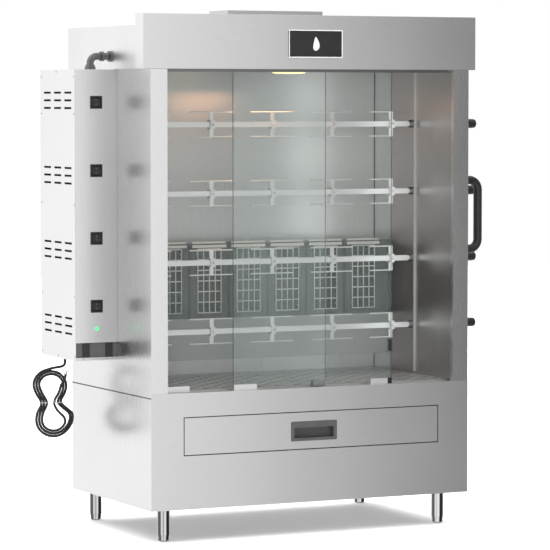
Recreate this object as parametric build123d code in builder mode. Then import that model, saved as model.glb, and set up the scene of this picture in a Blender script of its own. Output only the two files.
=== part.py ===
from build123d import *
from math import radians, tan
import os

# Upright rotisserie oven: a cabinet on four legs with a glazed oven cavity, four driven spits,
# infrared burners across the back, a hood above and a drip drawer below.
# Millimetres. +X is to the right as seen from the front, +Y to the back, +Z up.
# The origin is the centre of the bounding box's bottom, leaving out the free cord.

os.makedirs("parts", exist_ok=True)

# ---------------------------------------------------------------- driving dimensions
cabinet_width = 1200.0
cabinet_depth = 690.0
sheet = 2.0                      # thickness of the folded sheet metal
seam = 0.3                       # gap left between neighbouring sheets

control_width = 154.0            # control box, standing out of the left wall
screw_head = 1.5                 # height of a cover screw's head
grip_reach = 211.0               # how far a spit's grip stands out of the right wall
plate_out = 3.0                  # nameplate, standing out of the fascia
inlet_out = 40.0                 # gas inlet, standing out of the rear panel

leg_height = 112.0
base_top = 487.0
sill_top = 501.5
cavity_top = 1577.0
hood_top = 1723.0
fascia_top = 1759.0
flue_top = 1781.0

# The cabinet's faces in this frame
left = -(control_width + screw_head + cabinet_width + grip_reach) / 2 + control_width + screw_head
right = left + cabinet_width
middle = (left + right) / 2
front = -(plate_out + cabinet_depth + inlet_out) / 2 + plate_out
back = front + cabinet_depth

# Walls of the oven cavity
jamb = 60.0                      # width of the front jambs beside the glass
wall = 40.0                      # outer face of a side wall to the cavity
rear_wall = 70.0                 # back of the cabinet to the cavity
cavity_left = left + wall
cavity_right = right - wall
cavity_back = back - rear_wall

# Spits
spit_y = front + 325.0
spit_pitch = 237.4
spit_heights = [677.5 + spit_pitch * index for index in range(4)]
bar_size = 18.0
journal_radius = 9.0
running_gap = 0.05
fork_pitch = 233.0
fork_count = 5
prong_reach = 42.5
prong_length = 82.0

# Infrared burners and their gas supply
burner_front = front + 512.0
burner_count = 7
burner_pitch = 152.5
burner_places = [
    middle + burner_pitch * (index - (burner_count - 1) / 2) for index in range(burner_count)
]
manifold_y = back - 35.0
manifold_z = 640.0
jet_radius = 6.0

# Glass doors
door_width = 600.0
glass = 6.0
front_track = front + 24.0       # front face of the right door's glass
rear_track = front + 44.0        # front face of the left door's glass
door_bottom = 507.0
door_top = 1573.0

# Control box
box_left = left - control_width
box_front = front + 283.0
box_back = front + 592.0
box_bottom = 597.0
box_top = 1576.7
switch_x = left - 76.0
switch_heights = [780.0, 1009.0, 1237.0, 1466.5]
switch_size = 43.0

# Power cord
cord_radius = 4.5
cord_y = front + 519.0


def slab(x0, x1, y0, y1, z0, z1, mode=Mode.ADD):
    """A box between two limits along each axis, in the part being built."""
    with Locations(((x0 + x1) / 2, (y0 + y1) / 2, (z0 + z1) / 2)):
        Box(abs(x1 - x0), abs(y1 - y0), abs(z1 - z0), mode=mode)


def rod(radius, start, end, mode=Mode.ADD):
    """A round bar between two points that differ along one axis."""
    path = Vector(*end) - Vector(*start)
    with Locations(Plane(origin=start, z_dir=path)):
        Cylinder(radius, path.length, align=(Align.CENTER, Align.CENTER, Align.MIN), mode=mode)


def save(node, name):
    """Label a finished piece and write it to its own file."""
    node.part.label = name
    export_step(node.part, f"parts/{name}.step")


# ---------------------------------------------------------------- legs
leg_radius = 21.0
leg_plate = 25.0                 # half the width of a leg's mounting plate
leg_places = [
    (x, y)
    for x in (left + 77, right - 77)
    for y in (front + 77, back - 26)
]

with BuildPart() as leg_tubes:
    for x, y in leg_places:
        rod(leg_radius, (x, y, 22), (x, y, leg_height - 3))
        rod(leg_radius - 2, (x, y, 22), (x, y, leg_height - 3), Mode.SUBTRACT)
        slab(x - leg_plate, x + leg_plate, y - leg_plate, y + leg_plate, leg_height - 3, leg_height)
save(leg_tubes, "leg_tubes")

with BuildPart() as levelling_feet:
    for x, y in leg_places:
        with BuildSketch(Plane.XZ.offset(-y)) as foot_profile:
            with BuildLine():
                Polyline(
                    (x, 0), (x + 15, 0), (x + 18.5, 3), (x + 20, 21.7), (x + 8, 21.7),
                    (x + 8, 60), (x, 60), (x, 0),
                )
            make_face()
        revolve(axis=Axis((x, y, 0), (0, 0, 1)))
save(levelling_feet, "levelling_feet")

# ---------------------------------------------------------------- base cabinet
flange = 18.0
with BuildPart() as base_shell:
    low = leg_height
    slab(left, right, front + sheet + seam, back, low, low + sheet)
    inner_low = low + sheet + seam
    inner_front = front + sheet + seam
    for side, inward in ((left, 1), (right, -1)):
        slab(side, side + inward * sheet, inner_front, back, inner_low, base_top)
        slab(side, side + inward * flange, inner_front, inner_front + sheet, inner_low, base_top)
    rear_left = left + sheet + seam
    slab(rear_left, 2 * middle - rear_left, back - sheet, back, inner_low, base_top)
save(base_shell, "base_shell")

drawer_left = left + 120.0
drawer_right = right - 120.0
drawer_low = 294.0
drawer_high = 418.0
drawer_gap = 3.0
with BuildPart() as base_front_panel:
    slab(left, right, front, front + sheet, leg_height, sill_top)
    slab(left + jamb, right - jamb, front, front + 14, sill_top - sheet, sill_top)
    slab(
        drawer_left - drawer_gap, drawer_right + drawer_gap, front - 1, front + 3,
        drawer_low - drawer_gap, drawer_high + drawer_gap, Mode.SUBTRACT,
    )
save(base_front_panel, "base_front_panel")

runner_low = 342.0
with BuildPart() as drawer_runners:
    for side, inward in ((left, 1), (right, -1)):
        rail = side + inward * 110
        slab(rail, rail + inward * 3, front + 18, front + 560, runner_low, runner_low + 38)
        slab(rail, rail + inward * 17, front + 18, front + 560, runner_low, runner_low + 3)
        for y in (front + 60, front + 500):
            slab(side + inward * (sheet + seam), rail, y, y + 30, runner_low, runner_low + 38)
save(drawer_runners, "drawer_runners")

# ---------------------------------------------------------------- drawer
pull_left = left + 515.0
pull_right = left + 689.0
pull_low = 321.0
pull_high = 388.0
pull_rim = 1.5
cup_depth = 24.0
cup_wall = 12.0

with BuildPart() as drawer_front:
    slab(drawer_left, drawer_right, front, front + 16, drawer_low, drawer_high)
    slab(
        drawer_left + sheet, drawer_right - sheet, front + sheet, front + 17,
        drawer_low + sheet, drawer_high - sheet, Mode.SUBTRACT,
    )
    slab(
        pull_left + 8, pull_right - 8, front - 1, front + 17,
        pull_low + 6, pull_high - 6, Mode.SUBTRACT,
    )
    front_edges = drawer_front.edges().group_by(Axis.Y)[0].sort_by(SortBy.LENGTH)[-4:]
    fillet(front_edges, 0.8)
save(drawer_front, "drawer_front")

with BuildPart() as drawer_pull:
    slab(pull_left, pull_right, front - pull_rim, front - 0.1, pull_low, pull_high)
    slab(
        pull_left + 8.3, pull_right - 8.3, front - pull_rim, front + cup_depth,
        pull_low + 6.3, pull_high - 6.3,
    )
    fillet(drawer_pull.edges().filter_by(Axis.Y), 4)
    slab(
        pull_left + cup_wall, pull_right - cup_wall, front - 2, front + cup_depth - 3,
        pull_low + 10, pull_high - 22, Mode.SUBTRACT,
    )
    fillet(drawer_pull.edges().group_by(Axis.Y)[0], 0.6)
save(drawer_pull, "drawer_pull")

tray_left = left + 130.0
tray_front = front + 26.0
tray_back = front + 560.0
tray_low = 300.0
tray_high = 404.0
with BuildPart() as drawer_tray:
    slab(tray_left, 2 * middle - tray_left, tray_front, tray_back, tray_low, tray_high)
    slab(
        tray_left + sheet, 2 * middle - tray_left - sheet, tray_front + sheet, tray_back - sheet,
        tray_low + sheet, tray_high + 1, Mode.SUBTRACT,
    )
    for side, inward in ((left, 1), (right, -1)):
        edge = side + inward * 118
        slab(edge, side + inward * 130, tray_front, tray_back, runner_low + 3.5, runner_low + 6)
        slab(side + inward * 200, side + inward * 230, front + 2.2, tray_front, 310, 312)
save(drawer_tray, "drawer_tray")

# ---------------------------------------------------------------- upper cabinet
passage_radius = 12.0            # hole that a spit's bush passes through
lip = 15.0
with BuildPart() as left_outer_panel:
    slab(left, left + sheet, front, back - sheet - seam, base_top + seam, cavity_top - seam)
    slab(left, left + jamb, front, front + sheet, sill_top + seam, cavity_top - seam)
    slab(left + jamb - sheet, left + jamb, front, front + lip, sill_top + seam, cavity_top - seam)
    slab(left - 1, right, front - 1, front + sheet + seam, base_top, sill_top + seam, Mode.SUBTRACT)
    corner = left_outer_panel.edges().filter_by(Axis.Z).group_by(Axis.X)[0].sort_by(Axis.Y)[0]
    fillet(corner, 1.5)
    for z in spit_heights:
        rod(passage_radius, (left - 5, spit_y, z), (left + 10, spit_y, z), Mode.SUBTRACT)
save(left_outer_panel, "left_outer_panel")

with BuildPart() as right_outer_panel:
    mirror(left_outer_panel.part, about=Plane.YZ.offset(middle))
save(right_outer_panel, "right_outer_panel")

inlet_x = right - 120.0
inlet_radius = 10.5
with BuildPart() as rear_outer_panel:
    slab(left, right, back - sheet, back, base_top + seam, cavity_top - seam)
    rod(inlet_radius + 2, (inlet_x, back - 5, manifold_z), (inlet_x, back + 5, manifold_z), Mode.SUBTRACT)
save(rear_outer_panel, "rear_outer_panel")

floor_low = 488.0
rail_width = 28.0
rail_out = 6.0
with BuildPart() as cavity_liner:
    slab(cavity_left, cavity_right, front + 14.5, cavity_back, floor_low, floor_low + sheet)
    wall_low = floor_low + sheet + seam
    for face, outward in ((cavity_left, -1), (cavity_right, 1)):
        slab(face, face + outward * sheet, front + 17, cavity_back, wall_low, cavity_top - seam)
        slab(
            face, face - outward * rail_out, spit_y - rail_width / 2, spit_y + rail_width / 2,
            510, cavity_top - 8,
        )
        for z in spit_heights:
            start = (face - 10, spit_y, z)
            end = (face + 10, spit_y, z)
            rod(passage_radius, start, end, Mode.SUBTRACT)
    slab(
        cavity_left - sheet, cavity_right + sheet, cavity_back + seam, cavity_back + sheet,
        wall_low, cavity_top - seam,
    )
    for x in burner_places:
        start = (x, cavity_back - 5, manifold_z)
        end = (x, cavity_back + 10, manifold_z)
        rod(jet_radius + 1, start, end, Mode.SUBTRACT)
    rod(30, (middle, spit_y, floor_low - 1), (middle, spit_y, floor_low + 5), Mode.SUBTRACT)
save(cavity_liner, "cavity_liner")

with BuildPart() as insulation_panels:
    for side, inward in ((left, 1), (right, -1)):
        slab(
            side + inward * (sheet + seam), side + inward * (wall - sheet - seam),
            front + 18, back - 4, base_top + 4, cavity_top - 3,
        )
    for z in spit_heights:
        rod(passage_radius + 2, (left - 5, spit_y, z), (right + 5, spit_y, z), Mode.SUBTRACT)
    slab(cavity_left + 4, cavity_right - 4, cavity_back + 4, back - 6, 760, cavity_top - 3)
save(insulation_panels, "insulation_panels")

grate_low = floor_low + sheet
grate_top = 503.0
with BuildPart() as floor_grate:
    slab(cavity_left + 4, cavity_right - 4, front + 62, cavity_back - 4, grate_low, grate_top)
    slab(
        cavity_left + 6, cavity_right - 6, front + 64, cavity_back - 6,
        grate_low - 1, grate_top - 3, Mode.SUBTRACT,
    )
save(floor_grate, "floor_grate")

with BuildPart() as door_tracks:
    for x0, x1, z0, z1, z_groove in (
        (left + jamb + seam, right - jamb - seam, floor_low + sheet, 499.2, 494.0),
        (cavity_left + seam, cavity_right - seam, 1568.0, cavity_top - seam, 1567.0),
    ):
        slab(x0, x1, front + 16, front + 58, z0, z1)
        for track in (front_track, rear_track):
            slab(
                x0 - 1, x1 + 1, track - 1.5, track + glass + 1.5,
                z_groove, z_groove + 7.5, Mode.SUBTRACT,
            )
save(door_tracks, "door_tracks")

# ---------------------------------------------------------------- hood
fascia_over = 26.0               # how far the fascia stands out beyond each side
fascia_depth = 65.0
hood_over = 10.0
flue_left = left + 417.0
flue_right = left + 783.0
flue_front = front + 294.0
flue_back = front + 445.0
conduit_y = front + 310.0
conduit_z = 1621.0
conduit_radius = 12.5

with BuildPart() as hood_fascia:
    slab(left - fascia_over, right + fascia_over, front, front + fascia_depth, cavity_top, fascia_top)
    fillet(hood_fascia.edges().group_by(Axis.Y)[0], 1.2)
    slab(
        left - fascia_over + sheet, right + fascia_over - sheet, front + sheet,
        front + fascia_depth - sheet, cavity_top + sheet, fascia_top - sheet, Mode.SUBTRACT,
    )
    slab(
        left + 2, right - 2, front + fascia_depth - 5, front + fascia_depth + 5,
        cavity_top + 8, hood_top - 10, Mode.SUBTRACT,
    )
save(hood_fascia, "hood_fascia")

hood_front = front + fascia_depth + seam
with BuildPart() as hood_body:
    slab(left - hood_over, right + hood_over, hood_front, back, cavity_top, hood_top)
    fillet(hood_body.edges().group_by(Axis.Z)[-1].filter_by(Axis.Y), 1.5)
    slab(
        left - hood_over + sheet, right + hood_over - sheet, hood_front - 1, back - sheet,
        cavity_top - 1, hood_top - sheet, Mode.SUBTRACT,
    )
    slab(
        flue_left + 4, flue_right - 4, flue_front + 4, flue_back - 4,
        hood_top - 10, hood_top + 1, Mode.SUBTRACT,
    )
    rod(
        conduit_radius + 0.5, (left - 20, conduit_y, conduit_z),
        (left, conduit_y, conduit_z), Mode.SUBTRACT,
    )
save(hood_body, "hood_body")

lamp_y = front + 190.0
lamp_radius = 60.0
with BuildPart() as ceiling_panel:
    slab(
        left - hood_over + sheet + seam, right + hood_over - sheet - seam, hood_front + seam,
        back - sheet - seam, cavity_top, cavity_top + sheet,
    )
    rod(lamp_radius - 6, (middle, lamp_y, 1570), (middle, lamp_y, 1590), Mode.SUBTRACT)
    slab(
        flue_left + 14, flue_right - 14, flue_front + 9, flue_back - 9,
        cavity_top - 1, cavity_top + 5, Mode.SUBTRACT,
    )
save(ceiling_panel, "ceiling_panel")

with BuildPart() as flue_collar:
    slab(flue_left, flue_right, flue_front, flue_back, hood_top, flue_top)
    fillet(flue_collar.edges().filter_by(Axis.Z), 3)
    slab(
        flue_left + sheet, flue_right - sheet, flue_front + sheet, flue_back - sheet,
        hood_top - 1, flue_top + 1, Mode.SUBTRACT,
    )
save(flue_collar, "flue_collar")

with BuildPart() as nameplate:
    slab(left + 505, left + 708, front - plate_out, front, 1616, 1710)
    fillet(nameplate.edges().filter_by(Axis.Y), 4)
    slab(left + 510, left + 703, front - plate_out - 1, front - plate_out + 1, 1621, 1705, Mode.SUBTRACT)
save(nameplate, "nameplate")

with BuildPart() as lamp_housing:
    rod(lamp_radius, (middle, lamp_y, cavity_top + sheet), (middle, lamp_y, cavity_top + 58))
    rod(lamp_radius - 3, (middle, lamp_y, cavity_top), (middle, lamp_y, cavity_top + 55), Mode.SUBTRACT)
save(lamp_housing, "lamp_housing")

with BuildPart() as lamp_lens:
    rod(lamp_radius, (middle, lamp_y, cavity_top - 3), (middle, lamp_y, cavity_top))
    rod(lamp_radius - 6.5, (middle, lamp_y, cavity_top), (middle, lamp_y, cavity_top + 4))
    fillet(lamp_lens.edges().group_by(Axis.Z)[0], 1.5)
save(lamp_lens, "lamp_lens")

# ---------------------------------------------------------------- glass doors
clip_low = 501.0
clip_height = 19.0
clip_out = 4.0                   # how far a clip stands out of the glass on each side


def glass_pane(x0, track):
    """One pane of a sliding door, its front face on the track's line."""
    slab(x0, x0 + door_width, track, track + glass, door_bottom, door_top)


def door_clips(x0, track, spans):
    """Aluminium clips under a pane, each with a tongue that runs in the track's groove."""
    for start, width in spans:
        slab(
            x0 + start, x0 + start + width, track - clip_out, track + glass + clip_out,
            clip_low, clip_low + clip_height,
        )
        slab(
            x0 + start - 1, x0 + start + width + 1, track, track + glass,
            door_bottom, clip_low + clip_height + 1, Mode.SUBTRACT,
        )
        slab(x0 + start + 8, x0 + start + width - 8, track + 1, track + glass - 1, 495.5, clip_low)


left_door_x = left + 68.0
right_door_x = left + 311.5

with BuildPart() as left_door_glass:
    glass_pane(left_door_x, rear_track)
save(left_door_glass, "left_door_glass")

with BuildPart() as left_door_clips:
    door_clips(left_door_x, rear_track, ((0, 89), (door_width - 50, 48)))
save(left_door_clips, "left_door_clips")

with BuildPart() as right_door_glass:
    glass_pane(right_door_x, front_track)
save(right_door_glass, "right_door_glass")

with BuildPart() as right_door_clips:
    door_clips(right_door_x, front_track, ((0, 85), (door_width - 82, 66)))
save(right_door_clips, "right_door_clips")

grip_x = right_door_x + door_width
with BuildPart() as right_door_grip:
    slab(grip_x - 10, grip_x - 1, front_track - 6, front_track, 613, 653)
    slab(grip_x - 15, grip_x, front_track - 4, front_track, clip_low, clip_low + clip_height)
    slab(grip_x - 15, grip_x, front_track + glass, front_track + glass + 4, clip_low, clip_low + clip_height)
save(right_door_grip, "right_door_grip")

# ---------------------------------------------------------------- spits
bar_left = cavity_left + 24.0
bar_right = cavity_right - 24.0
journal_left = left - 52.0
grip_end = right + grip_reach
grip_start = grip_end - 120.0
head_width = 15.0
head_thick = 5.0
head_reach = 44.0
hub_size = 30.0
prong_radius = 2.4
first_head = middle - fork_pitch * (fork_count - 1) / 2 + 2.0


def spit_bar(z):
    """Square bar with a round journal at each end, and a thinner tail that carries the grip."""
    half = bar_size / 2
    slab(bar_left, bar_right, spit_y - half, spit_y + half, z - half, z + half)
    rod(journal_radius, (journal_left, spit_y, z), (bar_left, spit_y, z))
    rod(journal_radius, (bar_right, spit_y, z), (grip_start - 10, spit_y, z))
    rod(6, (grip_start - 10, spit_y, z), (grip_end - 12, spit_y, z))


def fork_head(x, z, sides):
    """Clamp block round the bar, a flat cross strip, and two prongs on each side named."""
    half_hub = hub_size / 2
    slab(x - 9, x + 9, spit_y - half_hub, spit_y + half_hub, z - half_hub, z + half_hub)
    slab(
        x - head_width / 2, x + head_width / 2, spit_y - head_thick / 2, spit_y + head_thick / 2,
        z - head_reach, z + head_reach,
    )
    knob_face = spit_y - half_hub - 14
    rod(3, (x, knob_face, z), (x, spit_y - half_hub, z))
    rod(5.5, (x, knob_face - 6, z), (x, knob_face, z))
    for side in sides:
        for offset in (-prong_reach, prong_reach):
            rod(prong_radius, (x, spit_y, z + offset), (x + side * prong_length, spit_y, z + offset))
    open_half = bar_size / 2 + running_gap
    slab(
        x - 10, x + 10, spit_y - open_half, spit_y + open_half,
        z - open_half, z + open_half, Mode.SUBTRACT,
    )


for index, spit_z in enumerate(spit_heights):
    number = len(spit_heights) - index
    with BuildPart() as bar:
        spit_bar(spit_z)
    save(bar, f"spit_{number}_bar")

    with BuildPart() as forks:
        for head in range(fork_count):
            directions = [side for side in (-1, 1) if 0 <= head + side < fork_count]
            fork_head(first_head + fork_pitch * head, spit_z, directions)
    save(forks, f"spit_{number}_forks")

    with BuildPart() as grip:
        with BuildSketch(Plane.XZ.offset(-spit_y)) as grip_profile:
            with BuildLine():
                Polyline(
                    (grip_start, spit_z + 6.05), (grip_start, spit_z + 13), (grip_start + 14, spit_z + 15.5),
                    (grip_end - 14, spit_z + 16.5), (grip_end - 4, spit_z + 15),
                    (grip_end, spit_z + 10), (grip_end, spit_z), (grip_end - 11.9, spit_z),
                    (grip_end - 11.9, spit_z + 6.05), close=True,
                )
            make_face()
        revolve(axis=Axis((0, spit_y, spit_z), (1, 0, 0)))
    save(grip, f"spit_{number}_grip")

bush_radius = 11.5
with BuildPart() as spit_bushes:
    for spit_z in spit_heights:
        for face, outward in ((left, -1), (right, 1)):
            collar_end = face - outward * (wall + rail_out + 12)
            collar_start = face - outward * (wall + rail_out + seam)
            rod(13.5, (collar_end, spit_y, spit_z), (collar_start, spit_y, spit_z))
            rod(bush_radius, (collar_start, spit_y, spit_z), (face, spit_y, spit_z))
            rod(20, (face, spit_y, spit_z), (face + outward * 6, spit_y, spit_z))
        bore = journal_radius + running_gap
        rod(bore, (left - 20, spit_y, spit_z), (right + 20, spit_y, spit_z), Mode.SUBTRACT)
save(spit_bushes, "spit_bushes")

# ---------------------------------------------------------------- burners
window_width = 98.0
window_low = 724.0
window_high = 956.0
housing_low = 562.0
housing_high = 971.0

with BuildPart() as burner_housing:
    slab(cavity_left + 2, cavity_right - 2, burner_front, cavity_back - 1, housing_low, housing_high)
    slab(
        cavity_left + 4, cavity_right - 4, burner_front + sheet, cavity_back,
        housing_low + sheet, housing_high - sheet, Mode.SUBTRACT,
    )
    for x in burner_places:
        slab(
            x - window_width / 2, x + window_width / 2, burner_front - 1, burner_front + 5,
            window_low, window_high, Mode.SUBTRACT,
        )
save(burner_housing, "burner_housing")

with BuildPart() as burners:
    for x in burner_places:
        slab(x - 56, x + 56, burner_front + 14, burner_front + 60, window_low - 6, window_high + 5)
        slab(x - 49, x + 49, burner_front + 10, burner_front + 14, window_low + 2, window_high - 2)
        slab(x - 20, x + 20, burner_front + 20, burner_front + 50, 600, window_low - 6)
save(burners, "burners")

guard_columns = 4
guard_rows = 6
guard_bar = 3.0
with BuildPart() as burner_guards:
    guard_front = burner_front - 4
    for x in burner_places:
        low_x = x - window_width / 2 + 2
        high_x = x + window_width / 2 - 2
        low_z = window_low + 2
        high_z = window_high - 2
        for column in range(guard_columns + 1):
            bar_x = low_x + (high_x - low_x - guard_bar) * column / guard_columns
            slab(bar_x, bar_x + guard_bar, guard_front, guard_front + guard_bar, low_z, high_z)
        for row in range(guard_rows + 1):
            bar_z = low_z + (high_z - low_z - guard_bar) * row / guard_rows
            slab(low_x, high_x, guard_front, guard_front + guard_bar, bar_z, bar_z + guard_bar)
save(burner_guards, "burner_guards")

with BuildPart() as gas_manifold:
    rod(11, (left + 90, manifold_y, manifold_z), (right - 90, manifold_y, manifold_z))
    for x in burner_places:
        rod(jet_radius, (x, burner_front + 50, manifold_z), (x, manifold_y, manifold_z))
    rod(inlet_radius, (inlet_x, manifold_y, manifold_z), (inlet_x, back + inlet_out, manifold_z))
    rod(16, (inlet_x, back + 1, manifold_z), (inlet_x, back + 8, manifold_z))
save(gas_manifold, "gas_manifold")

# ---------------------------------------------------------------- control box
strip_low = 607.0
strip_high = 657.0
motor_out = 25.0                 # gap from the cabinet's wall to a gearbox
bottom_flange_z = 602.0

with BuildPart() as control_box_body:
    slab(box_left + sheet + seam, left - seam, box_front, box_back, box_bottom, box_top)
    fillet(control_box_body.edges().group_by(Axis.Y)[0].filter_by(Axis.X), 1.2)
    slab(
        box_left - 1, left + 1, box_front + sheet, box_back - sheet,
        box_bottom + sheet, box_top - sheet, Mode.SUBTRACT,
    )
    slab(
        box_left - 1, left + 1, box_front - 1, box_front + sheet + 1,
        strip_low, strip_high, Mode.SUBTRACT,
    )
    for z in switch_heights:
        half = switch_size / 2 - 2
        slab(
            switch_x - half, switch_x + half, box_front - 1, box_front + 5,
            z - half, z + half, Mode.SUBTRACT,
        )
    rod(5, (switch_x, box_front - 5, 704), (switch_x, box_front + 5, 704), Mode.SUBTRACT)
    rod(7, (left - 96, cord_y, box_bottom - 5), (left - 96, cord_y, box_bottom + 5), Mode.SUBTRACT)
    rod(
        conduit_radius, (left - 86, conduit_y, box_top - 5),
        (left - 86, conduit_y, box_top + 5), Mode.SUBTRACT,
    )
    # Mounting rail between the gearboxes and the cabinet's wall
    rail_low = spit_heights[0] - 60
    rail_high = spit_heights[-1] + 60
    slab(left - motor_out + seam, left - seam, spit_y - 30, spit_y + 60, rail_low, rail_high)
    slab(
        left - motor_out + 3, left + 1, spit_y - 27, spit_y + 57,
        rail_low - 1, rail_high + 1, Mode.SUBTRACT,
    )
    for z in spit_heights:
        rod(passage_radius, (left - 30, spit_y, z), (left, spit_y, z), Mode.SUBTRACT)
save(control_box_body, "control_box_body")

louvre_columns = [front + 527.5, front + 435.0, front + 343.0]
louvre_groups = [1473.0 - 253.7 * index for index in range(4)]
with BuildPart() as side_cover:
    slab(box_left, box_left + sheet, box_front, box_back, box_bottom, box_top)
    for group_z in louvre_groups:
        for row in (-26, 0, 26):
            for y in louvre_columns:
                slab(
                    box_left - 1, box_left + 5, y - 31, y + 31,
                    group_z + row - 3.5, group_z + row + 3.5, Mode.SUBTRACT,
                )
save(side_cover, "side_cover")

screw_places = [(y, z) for y in (front + 289.5, front + 582) for z in (1553, 1428, 1123, 813, 612)]
screw_places += [(front + 446, 1570), (front + 436, 605)]
with BuildPart() as cover_screws:
    for y, z in screw_places:
        rod(3.5, (box_left - screw_head, y, z), (box_left, y, z))
    for x in (left - 124, left - 40, left - 20):
        rod(2.6, (x, box_front - screw_head, bottom_flange_z), (x, box_front, bottom_flange_z))
save(cover_screws, "cover_screws")

with BuildPart() as service_strip:
    slab(
        box_left + sheet + seam, left - seam, box_front + 3.5, box_front + 7,
        strip_low - 5 + seam, strip_high + 5,
    )
    for x in (left - 115, left - 31):
        slab(x - 13, x + 13, box_front + 1, box_front + 3.5, strip_low + 1, strip_high - 1)
save(service_strip, "service_strip")

with BuildPart() as indicator_lamp:
    rod(4.9, (switch_x, box_front, 704), (switch_x, box_front + 6, 704))
    rod(7, (switch_x, box_front - 2, 704), (switch_x, box_front, 704))
    fillet(indicator_lamp.edges().group_by(Axis.Y)[0], 1.2)
save(indicator_lamp, "indicator_lamp")

with BuildPart() as switch_bezels:
    half = switch_size / 2
    for z in switch_heights:
        slab(switch_x - half, switch_x + half, box_front - 2, box_front, z - half, z + half)
        slab(
            switch_x - half + 2.2, switch_x + half - 2.2, box_front, box_front + 24,
            z - half + 2.2, z + half - 2.2,
        )
        slab(
            switch_x - half + 5, switch_x + half - 5, box_front - 3, box_front + 16,
            z - half + 5, z + half - 5, Mode.SUBTRACT,
        )
save(switch_bezels, "switch_bezels")

rocker_width = 30.0
pivot_reach = 16.2               # half the length of the pin that a rocker tilts on
for index, z in enumerate(switch_heights):
    number = len(switch_heights) - index
    with BuildPart() as rocker:
        with BuildSketch(Plane.YZ.offset(switch_x - rocker_width / 2)) as rocker_profile:
            with BuildLine():
                hinge_y = box_front + 5
                Polyline(
                    (hinge_y - 5.0, z + 14.0), (hinge_y - 6.2, z), (hinge_y - 9.2, z - 13.4),
                    (hinge_y - 1.0, z - 14.6), (hinge_y + 6.0, z - 5), (hinge_y + 6.0, z + 5),
                    (hinge_y + 1.5, z + 14.4), close=True,
                )
            make_face()
        extrude(amount=rocker_width)
        fillet(rocker.edges().group_by(Axis.Y)[0], 0.8)
        rod(1.6, (switch_x - pivot_reach, hinge_y, z), (switch_x + pivot_reach, hinge_y, z))
    save(rocker, f"rocker_{number}")

with BuildPart() as spit_motors:
    for spit_z in spit_heights:
        gear_left = left - motor_out - 50
        slab(gear_left, left - motor_out, spit_y - 34, spit_y + 66, spit_z - 38, spit_z + 38)
        rod(30, (gear_left - 68, spit_y + 32, spit_z), (gear_left, spit_y + 32, spit_z))
        rod(
            journal_radius + running_gap, (journal_left - 1, spit_y, spit_z),
            (left, spit_y, spit_z), Mode.SUBTRACT,
        )
save(spit_motors, "spit_motors")

with BuildPart() as conduit:
    elbow_x = left - 86.0
    with BuildLine() as conduit_path:
        FilletPolyline(
            (elbow_x, conduit_y, box_top - sheet), (elbow_x, conduit_y, conduit_z),
            (left - hood_over + 6, conduit_y, conduit_z), radius=24,
        )
    with BuildSketch(Plane(conduit_path.line @ 0, z_dir=conduit_path.line % 0)):
        Circle(conduit_radius - 0.3)
    sweep()
    rod(18.5, (elbow_x, conduit_y, box_top), (elbow_x, conduit_y, box_top + 9))
    rod(16, (elbow_x, conduit_y, box_top + 9), (elbow_x, conduit_y, box_top + 16))
    rod(16.5, (left - 50, conduit_y, conduit_z), (left - 38, conduit_y, conduit_z))
    rod(18.5, (left - hood_over - 9, conduit_y, conduit_z), (left - hood_over, conduit_y, conduit_z))
save(conduit, "conduit")

# ---------------------------------------------------------------- side handle
handle_x = right + 77.0
handle_y = front + 70.0
handle_low = 955.0
handle_high = 1195.0
handle_radius = 15.0
with BuildPart() as side_handle:
    with BuildLine() as handle_path:
        FilletPolyline(
            (right + 4, handle_y, handle_low), (handle_x, handle_y, handle_low),
            (handle_x, handle_y, handle_high), (right + 4, handle_y, handle_high), radius=34,
        )
    with BuildSketch(Plane(handle_path.line @ 0, z_dir=handle_path.line % 0)):
        Circle(handle_radius)
    sweep()
    for z in (handle_low, handle_high):
        rod(19, (right, handle_y, z), (right + 4, handle_y, z))
save(side_handle, "side_handle")

# ---------------------------------------------------------------- power cord
cord_x = left - 96.0
boot_end = 577.0
with BuildPart() as cord_gland:
    with BuildSketch(Plane.XZ.offset(-cord_y)) as boot_profile:
        with BuildLine():
            Polyline(
                (cord_x, box_bottom + 10), (cord_x + 6.8, box_bottom + 10), (cord_x + 6.8, box_bottom),
                (cord_x + 10, box_bottom), (cord_x + 10, box_bottom - 5), (cord_x + 7.5, box_bottom - 6),
                (cord_x + 5.4, boot_end), (cord_x, boot_end), close=True,
            )
        make_face()
    revolve(axis=Axis((cord_x, cord_y, 0), (0, 0, 1)))
save(cord_gland, "cord_gland")

# The lead turns sharply just under the box, then runs onto the top of the hank.
lead_route = [
    (cord_x, boot_end), (cord_x, 568.5), (cord_x - 6.5, 561), (cord_x - 19, 557.5),
    (cord_x - 36, 556.5), (cord_x - 54, 553.5),
]
lead_points = [Vector(x, cord_y, z) for x, z in lead_route]
lead_radii = []
for before, corner, after in zip(lead_points, lead_points[1:], lead_points[2:]):
    run_in = corner - before
    run_out = after - corner
    half_turn = radians(run_in.get_angle(run_out) / 2)
    lead_radii.append(0.45 * min(run_in.length, run_out.length) / tan(half_turn))
print("lead radii", [round(radius, 1) for radius in lead_radii])

with BuildPart() as power_cord:
    with BuildLine() as lead_path:
        FilletPolyline(*lead_points, radius=lead_radii)
    with BuildSketch(Plane(lead_path.line @ 0, z_dir=lead_path.line % 0)):
        Circle(cord_radius)
    sweep()
print("lead length", round(lead_path.wire().length, 1), "volume", round(power_cord.part.volume, 1))
save(power_cord, "power_cord")

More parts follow.
